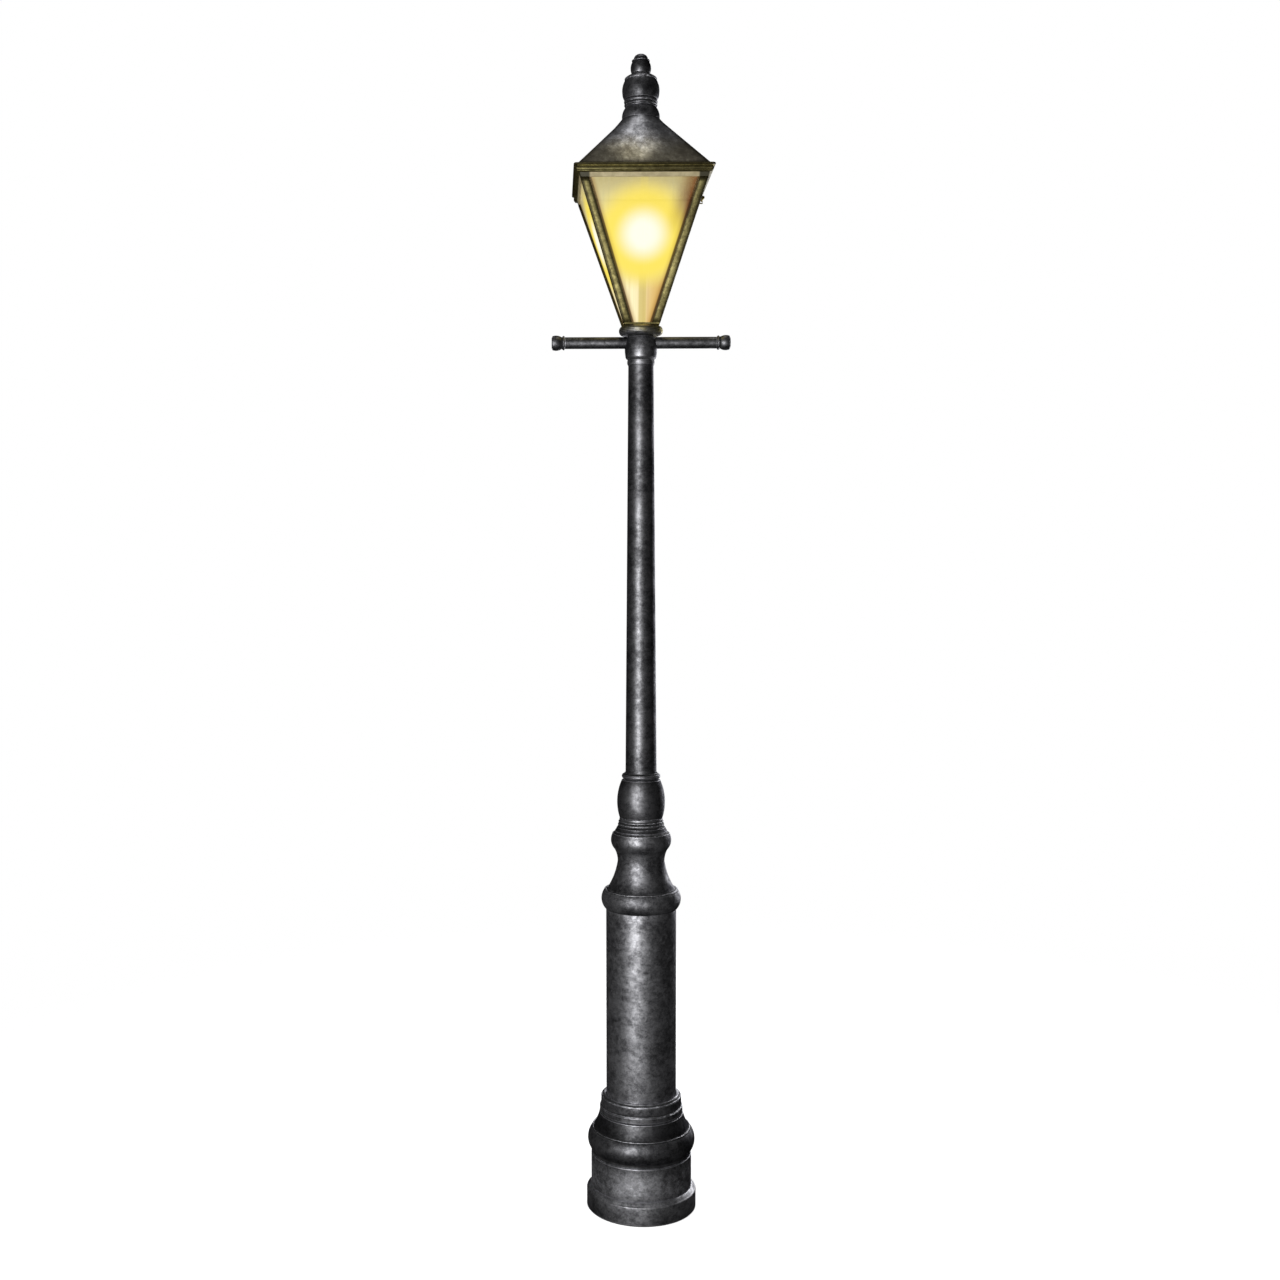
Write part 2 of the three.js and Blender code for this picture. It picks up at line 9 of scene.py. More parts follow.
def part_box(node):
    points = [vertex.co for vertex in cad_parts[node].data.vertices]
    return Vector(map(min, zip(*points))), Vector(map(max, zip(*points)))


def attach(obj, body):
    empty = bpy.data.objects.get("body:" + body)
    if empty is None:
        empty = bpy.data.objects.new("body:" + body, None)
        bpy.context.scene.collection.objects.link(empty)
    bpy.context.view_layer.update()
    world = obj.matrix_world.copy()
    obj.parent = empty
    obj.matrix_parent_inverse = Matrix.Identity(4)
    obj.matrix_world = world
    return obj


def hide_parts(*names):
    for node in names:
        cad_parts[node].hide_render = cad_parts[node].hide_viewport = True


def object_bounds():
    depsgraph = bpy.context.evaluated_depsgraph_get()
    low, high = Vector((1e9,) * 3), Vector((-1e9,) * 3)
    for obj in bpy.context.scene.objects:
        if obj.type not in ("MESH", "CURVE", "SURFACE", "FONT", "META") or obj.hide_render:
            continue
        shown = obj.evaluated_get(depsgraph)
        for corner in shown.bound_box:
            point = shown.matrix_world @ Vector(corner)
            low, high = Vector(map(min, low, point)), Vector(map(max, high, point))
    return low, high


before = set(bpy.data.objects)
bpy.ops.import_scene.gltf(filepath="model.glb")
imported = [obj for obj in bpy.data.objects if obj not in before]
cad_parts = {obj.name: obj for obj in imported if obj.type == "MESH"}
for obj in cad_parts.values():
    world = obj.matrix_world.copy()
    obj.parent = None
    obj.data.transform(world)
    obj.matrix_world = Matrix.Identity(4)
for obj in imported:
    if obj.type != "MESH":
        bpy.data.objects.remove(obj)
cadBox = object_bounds()
mm = 0.001
height = cadBox[1].z


# Meshes from grids of points, with lengths in mm

mouldings = {"facets": 128, "edge": 1.6, "edgeSteps": 4, "arcStep": 5.0, "cornerFrom": radians(18)}
rubbingAndShade = {"proud": 2.2, "hollow": 7.0, "faded": 0.8}  # how far wear on proud corners, and painted shade in hollows, spread from a corner, and how strongly
litLedges = {"rubAndHighlight": 0.42, "from": 0.72, "ease": 0.2, "widest": 40}  # which narrow, level faces get a painted highlight, as if lit from above, and how strong it is


def newPiece(name, vertices, faces, values=None):
    mesh = bpy.data.meshes.new(name)
    mesh.from_pydata(vertices.tolist(), [], faces)
    for label, array in (values or {}).items():
        layer = mesh.attributes.new(label, "FLOAT", "POINT")
        layer.data.foreach_set("value", np.ascontiguousarray(array, np.float32).ravel())
    mesh.polygons.foreach_set("use_smooth", np.ones(len(mesh.polygons), bool))
    mesh.update()
    piece = bpy.data.objects.new(name, mesh)
    bpy.context.scene.collection.objects.link(piece)
    return piece


def quadsOf(index):  # the four corners of each cell in a grid of vertex numbers
    return np.stack([index[:-1, :-1], index[1:, :-1], index[1:, 1:], index[:-1, 1:]], axis=-1)


# points[u, v] is the surface: quads join neighbours, and wrap round where a direction is closed
def gridPiece(name, points, closeU=False, closeV=False, values=None, capU=False, capV=False):
    countU, countV = points.shape[:2]
    index = np.arange(countU * countV).reshape(countU, countV)
    if closeU:
        index = np.vstack([index, index[:1]])
    if closeV:
        index = np.hstack([index, index[:, :1]])
    faces = quadsOf(index).reshape(-1, 4).tolist()
    if capU:
        faces += [index[0, :countV].tolist(), index[countU - 1, :countV][::-1].tolist()]
    if capV:
        faces += [index[:countU, 0][::-1].tolist(), index[:countU, countV - 1].tolist()]
    full = {label: np.broadcast_to(array, (countU, countV)) for label, array in (values or {}).items()}
    return newPiece(name, points.reshape(-1, 3), faces, full)


def closePoles(piece):
    shape = bmesh.new()
    shape.from_mesh(piece.data)
    bmesh.ops.remove_doubles(shape, verts=shape.verts, dist=1e-6)
    bmesh.ops.dissolve_degenerate(shape, edges=shape.edges, dist=1e-7)
    shape.to_mesh(piece.data)
    shape.free()
    return piece


# An outline is a list of (across, up) points in mm, anticlockwise. A third number bows the line that
# leads to that point outwards by so much, as an arc of a circle.
def bowed(outline, closed=True):
    points = []
    for i, here in enumerate(outline):
        b = np.array(here[:2], float)
        bow = here[2] if len(here) > 2 else 0
        if bow and (closed or i):
            a = np.array(outline[i - 1][:2], float)
            chord = b - a
            length = np.hypot(*chord)
            outward = np.array([chord[1], -chord[0]]) / length
            radius = length * length / (8 * abs(bow)) + abs(bow) / 2
            half = np.arcsin(min(1, length / (2 * radius)))
            turns = np.linspace(-half, half, max(4, int(length / mouldings["arcStep"])) + 1)[1:-1]
            rise = (radius * np.cos(turns) - radius + abs(bow)) * np.sign(bow)
            along = 0.5 + radius * np.sin(turns) / length
            points += list(a + np.outer(along, chord) + np.outer(rise, outward))
        points.append(b)
    return points


# Each corner becomes a small arc. The mark is 1 on proud corners, as wear, and -1 in hollows, as dirt and
# painted shade, and fades with distance.
def softened(points, edge, closed=True, rubbedAndShaded=None):
    made, wearAndPaintedLight, corners = [], [], []
    for i, here in enumerate(points):
        before, after = points[i - 1] - here, points[(i + 1) % len(points)] - here
        lengths = np.hypot(*before), np.hypot(*after)
        before, after = before / lengths[0], after / lengths[1]
        bend = pi - np.arccos(np.clip(before @ after, -1, 1))
        if bend < mouldings["cornerFrom"] or (not closed and i in (0, len(points) - 1)):
            made.append(here)
            wearAndPaintedLight.append(0.0)
            continue
        proud = float(np.sign(after[0] * before[1] - after[1] * before[0]))
        spread = (rubbedAndShaded or rubbingAndShade["proud"]) if proud > 0 else rubbingAndShade["hollow"]
        corners.append((here, proud, spread))
        reach = min(edge * tan(bend / 2), 0.4 * min(lengths))
        held = [reach + min(spread, 0.45 * (length - reach)) for length in lengths]
        arc = [(1 - t) ** 2 * before + t * t * after for t in np.linspace(0, 1, mouldings["edgeSteps"] + 1)]
        made += [here + before * held[0], *(here + pull * reach for pull in arc), here + after * held[1]]
        wearAndPaintedLight += [0.0, *[proud] * len(arc), 0.0]
    made, wearAndPaintedLight = np.array(made), np.array(wearAndPaintedLight)
    for here, proud, spread in corners:
        near = 1 - np.hypot(*(made - here).T) / spread
        wearAndPaintedLight = np.where(wearAndPaintedLight == 0, np.clip(near, 0, 1) * proud * rubbingAndShade["faded"], wearAndPaintedLight)
    return made, wearAndPaintedLight


def standing(origin, direction):
    turn = Vector(direction).to_track_quat("Z", "Y").to_matrix().to_4x4()
    return Matrix.Translation(Vector(origin)) @ turn


def placed(points, place):
    turn, move = np.array(place.to_3x3()), np.array(place.translation)
    return points @ turn.T + move


# Narrow faces that look up get a painted highlight, as if lit from above. Facing is 1 where the surface is
# level, and 0 on a wall.
def withLedgeHighlights(profile, wearAndPaintedLight):
    along = np.roll(profile, -1, axis=0) - np.roll(profile, 1, axis=0)
    length = np.hypot(*along.T)
    facing = -along[:, 0] / np.maximum(length, 1e-6)
    level = np.clip((facing - litLedges["from"]) / litLedges["ease"], 0, 1) * (length < litLedges["widest"])
    return np.where(wearAndPaintedLight < 0, wearAndPaintedLight, np.maximum(wearAndPaintedLight, litLedges["rubAndHighlight"] * level))


# A surface of revolution: (radius * cos, radius * sin, height) round the place's own axis.
def turned(name, outline, place, edge=None, facets=None, tone=((0, 0.0),), rubAndHighlight=1.0):
    closed = outline[0][0] > 0
    profile, wearAndPaintedLight = softened(bowed(outline, closed), edge or mouldings["edge"], closed)
    angles = np.linspace(0, 2 * pi, (facets or mouldings["facets"]) + 1)[:-1, None]
    r, h = profile[None, :, 0] * mm, profile[None, :, 1] * mm
    points = np.stack([np.cos(angles) * r, np.sin(angles) * r, h + 0 * angles], axis=-1)
    wearAndPaintedLight = withLedgeHighlights(profile, wearAndPaintedLight)
    shade = np.interp(profile[:, 1], *zip(*tone))  # a list of (height in mm, how much paler) pairs: painted light and shade by height
    # Marks above 0 are wear and painted highlights on level faces; the last argument scales them.
    values = {"wearAndPaintedLight": np.where(wearAndPaintedLight > 0, wearAndPaintedLight * rubAndHighlight, wearAndPaintedLight)[None, :], "tone": shade[None, :]}
    piece = gridPiece(name, placed(points, place), closeU=True, closeV=closed, values=values)
    return piece if closed else closePoles(piece)


def pieceName(node):
    return node.replace("_", " ").title().replace(" ", "")


def onPost(node):
    return Matrix.Translation((0, 0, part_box(node)[0].z))


# The outline, drawn from the node's underside, stretched to the node's own radius and height.
def casting(name, node, outline, **more):
    low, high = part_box(node)
    radius, rise = np.max(bowed(outline, outline[0][0] > 0), axis=0)
    wide, tall = high.x / mm / radius, (high.z - low.z) / mm / rise
    fitted = [(p[0] * wide, p[1] * tall, *p[2:]) for p in outline]
    return turned(name, fitted, onPost(node), **more)


# Shader maths

class Value:  # one output socket; each operator adds a Math node
    def __init__(self, paint, socket):
        self.paint, self.socket = paint, socket

    def maths(self, operation, *values):
        return self.paint.node("ShaderNodeMath", {"operation": operation}, dict(enumerate(values)))

    def __add__(self, other):
        return self.maths("ADD", self, other)

    def __sub__(self, other):
        return self.maths("SUBTRACT", self, other)

    def __rsub__(self, other):
        return self.maths("SUBTRACT", other, self)

    def __mul__(self, other):
        return self.maths("MULTIPLY", self, other)

    def __pow__(self, other):
        return self.maths("POWER", self, other)

    __radd__ = __add__
    __rmul__ = __mul__

    def size(self):
        return self.maths("ABSOLUTE", self)

    def ramp(self, start, stop, low=0.0, high=1.0):  # eases from low at start to high at stop
        return self.paint.node("ShaderNodeMapRange", {"interpolation_type": "SMOOTHSTEP", "clamp": True},
                               {0: self, 1: start, 2: stop, 3: low, 4: high})


class Paint:  # a material with one Principled shader
    def __init__(self, name, **constants):
        self.material = bpy.data.materials.new(name)
        self.material.use_nodes = True
        self.tree = self.material.node_tree
        self.tree.nodes.clear()
        self.shader = self.tree.nodes.new("ShaderNodeBsdfPrincipled")
        output = self.tree.nodes.new("ShaderNodeOutputMaterial")
        self.tree.links.new(self.shader.outputs[0], output.inputs[0])
        self.set(**constants)

    def fill(self, node, sockets):
        for key, value in sockets.items():
            if isinstance(value, Value):
                self.tree.links.new(value.socket, node.inputs[key])
            else:
                node.inputs[key].default_value = value

    def node(self, kind, settings=None, sockets=None, output=0):
        made = self.tree.nodes.new(kind)
        for key, value in (settings or {}).items():
            setattr(made, key, value)
        self.fill(made, sockets or {})
        return Value(self, made.outputs[output])

    def set(self, **values):  # base_color fills the socket Base Color, and so on
        names = [key.replace("_", " ").title().replace("Ior", "IOR") for key in values]
        self.fill(self.shader, dict(zip(names, values.values())))

    def place(self, scale=(1, 1, 1)):
        spot = self.node("ShaderNodeTexCoord", output="Object")
        return self.node("ShaderNodeMapping", {}, {"Vector": spot, "Scale": scale})

    def noise(self, scale, detail=4, rough=0.55, stretch=(1, 1, 1), distort=0.0):
        sockets = {"Vector": self.place(stretch), "Scale": scale, "Detail": detail, "Roughness": rough,
                   "Distortion": distort}
        return self.node("ShaderNodeTexNoise", {}, sockets)

    def value(self, label):
        return self.node("ShaderNodeAttribute", {"attribute_name": label}, output="Fac")

    def mix(self, factor, a, b):  # from colour a to colour b
        a, b = [(*c, 1) if isinstance(c, tuple) else c for c in (a, b)]
        return self.node("ShaderNodeMix", {"data_type": "RGBA"}, {0: factor, 6: a, 7: b}, output=2)

    def bump(self, heightValue, strength, distance):
        sockets = {"Height": heightValue, "Strength": strength, "Distance": distance}
        self.set(normal=self.node("ShaderNodeBump", {}, sockets))


print("helpers ready")


# Paints: each metal's look is its dark ground, grey patina, chalky clouds, rubbed edges and dirt, with
# painted highlights on level faces and painted shade in hollows

# The pale worn colour also paints highlights on level faces, and the dark dirt colour also paints shade.
ironLook = {"dark": (0.075, 0.075, 0.08), "grey": (0.42, 0.42, 0.44), "chalk": (0.62, 0.62, 0.65),
            "wornAndLit": (0.66, 0.66, 0.70), "dirtAndShade": (0.015, 0.015, 0.015)}
bronzeLook = {"dark": (0.12, 0.10, 0.04), "grey": (0.46, 0.40, 0.16), "chalk": (0.70, 0.63, 0.29),
              "wornAndLit": (0.72, 0.65, 0.32), "dirtAndShade": (0.018, 0.014, 0.005)}
roofLook = {"dark": (0.13, 0.112, 0.075), "grey": (0.46, 0.42, 0.30), "chalk": (0.70, 0.65, 0.50),
            "wornAndLit": (0.70, 0.66, 0.50), "dirtAndShade": (0.016, 0.013, 0.008)}
weathering = {"clouds": 9.0, "mottle": 52.0, "speckle": 300.0, "roughness": 0.45, "metallic": 0.94,
              "bump": 0.30}
tintHeights = {"roof": (3.60, 3.72), "cup": (3.035, 3.075)}  # metres up, where one look turns to another


# Two sizes of cloud lie over the dark metal; its proud edges are rubbed and its hollows hold dirt. Level
# faces that look up are painted paler as highlights, and hollows and marked edges darker as shade.
def weatheredMetal(name, look, upper=None, heights=(0.0, 1.0), tall=1.2):
    paint = Paint(name, specular_ior_level=0.3, specular_tint=(0.4, 0.4, 0.42, 1))
    clouds = paint.noise(weathering["clouds"], 5, 0.65, (1, 1, tall), 0.4)
    mottle = paint.noise(weathering["mottle"], 7, 0.74, (1, 1, tall), 0.3)
    speckle = paint.noise(weathering["speckle"], 3, 0.6)
    # Painted light and shade: the colour is scaled paler or darker, band by band.
    tone = paint.value("tone") + 1
    # Above 0 the mark is wear and painted highlight; below 0 it is dirt and painted shade.
    wornAndLit, grimeAndShade = paint.value("wearAndPaintedLight").ramp(0.05, 0.9), (paint.value("wearAndPaintedLight") * -1).ramp(0.05, 0.9)
    patina = (clouds * 0.42 + mottle * 0.43 + speckle * 0.15).ramp(0.38, 0.63)
    chalky = (mottle * 0.65 + speckle * 0.15 + clouds * 0.3).ramp(0.56, 0.78)
    tint = look
    if upper:  # the look changes with height
        spot = paint.node("ShaderNodeTexCoord", output="Object")
        up = paint.node("ShaderNodeSeparateXYZ", {}, {0: spot}, "Z")
        rise = (up + (clouds - 0.5) * 0.12).ramp(*heights)
        tint = {key: paint.mix(rise, look[key], upper[key]) for key in look}
    colour = paint.mix(patina, tint["dark"], tint["grey"])
    colour = paint.mix(chalky * 0.5, colour, tint["chalk"])
    colour = paint.node("ShaderNodeVectorMath", {"operation": "SCALE"}, {0: colour, "Scale": tone})
    # Rubbed edges, and painted highlights on level faces, turn pale.
    colour = paint.mix(wornAndLit * mottle.ramp(0.3, 0.62, 0.2, 0.85), colour, tint["wornAndLit"])
    # Dirt and painted shade turn dark.
    colour = paint.mix(grimeAndShade * 0.8, colour, tint["dirtAndShade"])
    paint.set(base_color=colour, metallic=weathering["metallic"] - grimeAndShade * 0.5,
              roughness=weathering["roughness"] + speckle * 0.10 - patina * 0.06)
    paint.bump(mottle * 0.5 + speckle * 0.4 + clouds * 0.3, weathering["bump"], 1.0 * mm)
    return paint.material


paintedBrassGlow = {"corner": (0.176, 0.184), "glow": 0.30}  # the frame's painted lamp glow, and painted shade at its corners, which stay dull, from and to in metres


# The frame's emission is painted lamplight, and its darker corners are painted shade.
def paintedGlowBrass():
    paint = Paint("painted_glow_brass", metallic=0.2)
    stain = paint.noise(30.0, 4, 0.6)
    colour = paint.mix(stain.ramp(0.35, 0.7), (0.42, 0.36, 0.21), (0.30, 0.25, 0.14))
    spot = paint.node("ShaderNodeVectorMath", {"operation": "ABSOLUTE"}, {0: paint.place()})
    x, y = (paint.node("ShaderNodeSeparateXYZ", {}, {0: spot}, axis) for axis in "XY")
    corner = x.maths("MINIMUM", x, y).ramp(*paintedBrassGlow["corner"])
    paint.set(base_color=paint.mix(corner, colour, (0.05, 0.045, 0.02)), roughness=0.5 + stain * 0.2,
              emission_color=paint.mix(corner, colour, (0.0, 0.0, 0.0)), emission_strength=paintedBrassGlow["glow"])
    return paint.material


def dullSteel():
    paint = Paint("dull_steel", metallic=0.6)
    grain = paint.noise(90.0, 4, 0.6)
    spangle = paint.noise(22.0, 2, 0.5)
    paint.set(base_color=paint.mix(spangle.ramp(0.35, 0.65), (0.22, 0.22, 0.23), (0.42, 0.43, 0.44)),
              roughness=0.34 + grain * 0.22)
    paint.bump(grain, 0.12, 0.0004)
    return paint.material


def blackMoulding():
    paint = Paint("black_moulding", specular_ior_level=0.5)
    grain = paint.noise(420.0, 2, 0.5)
    paint.set(base_color=paint.mix(paint.noise(14.0, 3), (0.012, 0.012, 0.013), (0.03, 0.03, 0.032)),
              roughness=0.42 + grain * 0.15)
    paint.bump(grain, 0.15, 0.0003)
    return paint.material


def plainPlywood():
    paint = Paint("plywood", specular_ior_level=0.3)
    grain = paint.noise(16.0, 6, 0.6, (3.0, 3.0, 0.25), 0.8)
    pores = paint.noise(150.0, 3, 0.6, (2.0, 2.0, 0.12))
    figure = (grain * 0.7 + pores * 0.3).ramp(0.3, 0.7)
    paint.set(base_color=paint.mix(figure, (0.20, 0.115, 0.05), (0.46, 0.31, 0.165)),
              roughness=0.6 + pores * 0.25)
    paint.bump(pores, 0.2, 0.0005)
    return paint.material


def stoveEnamel():
    paint = Paint("stove_enamel", coat_weight=0.4, coat_roughness=0.1)
    # The enamel is sooted in darker patches.
    darkening = paint.noise(11.0, 5, 0.6)
    paint.set(base_color=paint.mix(darkening.ramp(0.45, 0.75), (0.72, 0.70, 0.60), (0.48, 0.45, 0.34)),
              roughness=0.3 + darkening * 0.2)
    return paint.material


def glazedPorcelain():
    paint = Paint("porcelain", coat_weight=0.6, coat_roughness=0.06)
    age = paint.noise(30.0, 4)
    paint.set(base_color=paint.mix(age.ramp(0.4, 0.8), (0.74, 0.71, 0.62), (0.52, 0.47, 0.36)),
              roughness=0.25 + age * 0.15)
    return paint.material


def bulbGlass():
    paint = Paint("opal_bulb", emission_strength=9.0, roughness=0.2)
    cloud = paint.noise(26.0, 2)
    paint.set(base_color=paint.mix(cloud, (0.95, 0.9, 0.75), (0.9, 0.82, 0.6)),
              emission_color=paint.mix(cloud.ramp(0.3, 0.7), (1.0, 0.86, 0.52), (1.0, 0.92, 0.66)))
    return paint.material


# A pane's attributes: across from its middle and inset from its side, in metres; side from -1 to 1, up from
# 0 to 1. The look's pairs are where each mask starts and where it is full, in metres.
glassLook = {"glowUp": 0.60, "length": 0.484, "core": (0.108, 0.030), "halo": (0.195, 0.115),
             "stem": (0.016, 0.009), "edge": (0.036, 0.012), "corner": (0.095, 0.022),
             "line": (0.0215, 0.0165)}


# The panes' colour is emission: a painted lamp glow with halo and core, painted shade at the edges, on the
# right side, in the upper corners and under the rim, and a painted stem streak.
def paintedGlowGlass():
    paint = Paint("painted_glow_glass", emission_strength=1.0, specular_ior_level=0.3)
    across, side, up, inset = (paint.value(label) for label in ("across", "side", "up", "inset"))
    rise = (up - glassLook["glowUp"]) * glassLook["length"]
    away = (across * across + rise * rise) ** 0.5
    streaks = paint.node("ShaderNodeTexNoise", {"noise_dimensions": "1D"},
                         {"W": across, "Scale": 80.0, "Detail": 3.0})
    # Painted shade: the right side of each pane turns browner and darker.
    right = (side * 0.5 + 0.5).ramp(0.25, 0.85)
    # A painted dark streak down the middle stands for the lamp stem against the glow.
    stem = across.size().ramp(*glassLook["stem"])
    low = paint.mix(right, (1.0, 0.90, 0.55), (0.72, 0.46, 0.14))
    low = paint.mix(streaks.ramp(0.45, 0.75) * 0.3, low, (0.50, 0.30, 0.12))
    low = paint.mix(stem * 0.75, low, (0.62, 0.49, 0.14))
    # Painted shadow of the rim: the top of each pane turns darker.
    high = paint.mix(up.ramp(0.80, 1.0), (0.74, 0.66, 0.33), (0.46, 0.39, 0.19))
    high = paint.mix(streaks.ramp(0.4, 0.7) * 0.35, high, (0.52, 0.47, 0.26))
    high = paint.mix(stem * 0.35, high, (0.66, 0.54, 0.14))
    colour = paint.mix(up.ramp(0.22, 0.42), low, high)
    # Painted lamp glow: a yellow halo round the lamp.
    glow = away.ramp(*glassLook["halo"])
    colour = paint.mix(glow, colour, (0.96, 0.77, 0.115))
    # Painted shade along each pane's edges, beside the bars, strongest at the upper right.
    edge = inset.ramp(*glassLook["edge"])
    edgeShadeStrength = (0.5 + 0.5 * side) * up.ramp(0.55, 0.85)
    colour = paint.mix(edge * (0.72 - glow * 0.30), colour, (0.36, 0.17, 0.025))
    colour = paint.mix(edge * edgeShadeStrength, colour, (0.10, 0.018, 0.003))
    # Painted shade in the upper right corners.
    corner = inset.ramp(*glassLook["corner"]) * side.ramp(0.0, 0.8) * up.ramp(0.55, 0.9)
    colour = paint.mix(corner * 0.9, colour, (0.14, 0.03, 0.005))
    colour = paint.mix(inset.ramp(*glassLook["line"]) * 0.9, colour, (0.03, 0.014, 0.004))
    # Painted highlight: a white core where the lamp shows.
    colour = paint.mix(away.ramp(*glassLook["core"]), colour, (1.0, 0.97, 0.82))
    # The base colour also turns darker towards the edges, as painted shade.
    paint.set(emission_color=colour, base_color=paint.mix(edge, (0.06, 0.05, 0.02), (0.02, 0.01, 0.004)),
              roughness=0.2 + streaks * 0.12, alpha=0.88 - up.ramp(0.70, 0.80) * 0.20 + glow * 0.06)
    paint.bump(paint.noise(9.0, 2), 0.05, 0.002)
    return paint.material


iron, bronze = weatheredMetal("weathered_iron", ironLook), weatheredMetal("aged_bronze", bronzeLook)
frameBrass = paintedGlowBrass()
roofMetal = weatheredMetal("roof_sheet", roofLook, ironLook, tintHeights["roof"], tall=0.6)
cupMetal = weatheredMetal("head_iron", ironLook, bronzeLook, tintHeights["cup"])
steel, plastic, plywood = dullSteel(), blackMoulding(), plainPlywood()
enamel, porcelain, opal, glass = stoveEnamel(), glazedPorcelain(), bulbGlass(), paintedGlowGlass()
print("paints mixed")


def fit(piece, body, slot, material, *nodes):  # the piece takes its paint and stands for those CAD nodes
    piece.data.materials.append(material)
    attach(piece, body)
    if nodes:
        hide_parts(*nodes)
    return piece


# Base, pedestal and shaft. The drum's wall has two more points, at 25 and 80, that carry its painted light
# and shade.

castings = {
    "plinth_ring": [(153, 0), (187, 0), (192, 5), (192, 64), (188.5, 69, 0.8), (177.5, 80, 0.5), (124, 80),
                    (124, 66), (153, 40)],
    "base_drum": [(166, 0), (176, 0), (176, 25), (176, 80), (176, 113.6), (124, 113.6), (124, 103),
                  (166, 103)],
    "base_moulding": [(162, 0), (175, 0.4), (175.5, 13), (174.5, 88, 14.6), (174, 92), (171, 93), (168.5, 91),
                      (149, 139, -1.5), (148.5, 142.6), (124, 142.6), (124, 131), (150, 95), (166, 50)],
    "base_collar": [(124, 0), (142, 0), (146, 5), (146, 22), (144.5, 26.5), (140, 28), (141.5, 33),
                    (141.5, 58), (139.5, 61), (135, 62), (131.5, 67.6), (124, 67.6)],
    "shoulder_casting": [(107, 0), (115.5, 0), (115.5, 22.4), (124.5, 22.4), (129.5, 88, 12.2), (129, 91),
                         (125, 92), (120, 90), (82, 190, -5.8), (92.5, 232, -2.6), (101, 285, 8.4),
                         (100, 289), (95, 290), (90, 296), (56, 296), (56, 152), (104, 70)],
    "neck_collar": [(56, 0), (92.5, 0), (84.5, 13.5, -0.8), (81.5, 15), (80.5, 18), (81.5, 24), (79.5, 26),
                    (78.5, 29), (79.5, 34), (76.5, 36.5), (75.5, 44.6), (56, 44.6)],
    "barrel_casting": [(56, 0), (73, 0), (75, 2.6), (66.5, 134.6, 12.2), (56, 134.6)],
    "barrel_ring": [(56, 0), (59, 0), (61, 4, -0.6), (61, 21, 7.2), (58, 24.6), (56, 24.6)],
}
tones = {  # painted light and shade: how much paler or darker than the paint, by height
    "base_moulding": [(0, -0.3), (14, -0.6), (45, -0.35), (88, -0.35), (94, -0.8), (142, -0.6)],
    "base_collar": [(0, -0.5), (5, -0.15), (60, -0.15)],
    "base_drum": [(0, -0.1), (25, 1.3), (80, 1.0), (106, 0.2), (113, 0.0)],
    "plinth_ring": [(0, 0.0), (64, 0.15), (68, 0.5)],
    "shoulder_casting": [(0, -0.6), (22, -0.6), (30, 0.1), (88, 0.2), (96, -0.5), (130, 0.0), (200, 0.1),
                         (240, 0.0), (285, -0.1)],
    "neck_collar": [(0, -0.4)],
    "barrel_casting": [(0, -0.6), (12, -0.45), (120, -0.45), (134, -0.7)],
    "barrel_ring": [(0, -0.5)],
}
softEdge = {"plinth_ring": 2.2, "barrel_ring": 0.9, "neck_collar": 1.1, "base_collar": 1.8}
# The shaft is painted darker, as painted shade.
shaft = {"wall": 6.0, "topRadius": 43.1, "rings": 24, "tone": -0.45}


def makeCastings():
    for node, outline in castings.items():
        piece = casting(pieceName(node), node, outline, edge=softEdge.get(node), tone=tones[node])
        fit(piece, "post", "painted_iron", iron, node)


def makeShaft():
    low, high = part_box("shaft_tube")
    bottom, top, wall = high.x / mm, shaft["topRadius"], shaft["wall"]
    tall = (high.z - low.z) / mm
    levels = np.linspace(0, 1, shaft["rings"] + 1)[1:]
    outside = [(bottom + (top - bottom) * t, tall * t) for t in levels]
    outline = [(bottom, 0), *outside, (top - wall, tall), (bottom - wall, 0)]
    piece = turned("TaperedShaft", outline, onPost("shaft_tube"), tone=[(0, shaft["tone"])])
    fit(piece, "post", "painted_iron", iron, "shaft_tube")


makeCastings()
makeShaft()
print("column made")


# Head casting and ladder bars

headOutline = [(44.5, 0), (46.0, 0), (46.9, 14.5, 0.7), (45.4, 17.5), (49.5, 20.5), (53.5, 30, 1.2),
               (50.3, 94, 3.6), (44.5, 102.5, -2.0), (62, 100.5), (70, 102.5), (70.5, 128.5, 5.6),
               (65.5, 131), (14, 131), (14, 45), (44.5, 45)]
barOutline = [(0, 27), (20, 27), (20, 261), (18.5, 262.0), (10, 262.0), (10, 281), (0, 281)]
knobOutline = [(0, 21), (10.5, 21), (10.5, 0), (22.5, 0), (22.5, 7, 2.0), (20.5, 8.5), (20.5, 10.5),
               (24.6, 39, 3.0), (20.6, 42.5, 1.2), (18.6, 43.0), (16.5, 44.6, 0.8), (0, 44.6)]
# The ladder bars and knobs are painted darker, as painted shade; the knobs' pale marks are halved.
barLook = {"edge": 1.4, "facets": 64, "tone": [(0, -0.35)]}
knobLook = {"edge": 1.1, "facets": 64, "tone": [(0, -0.4)], "rubAndHighlight": 0.5}


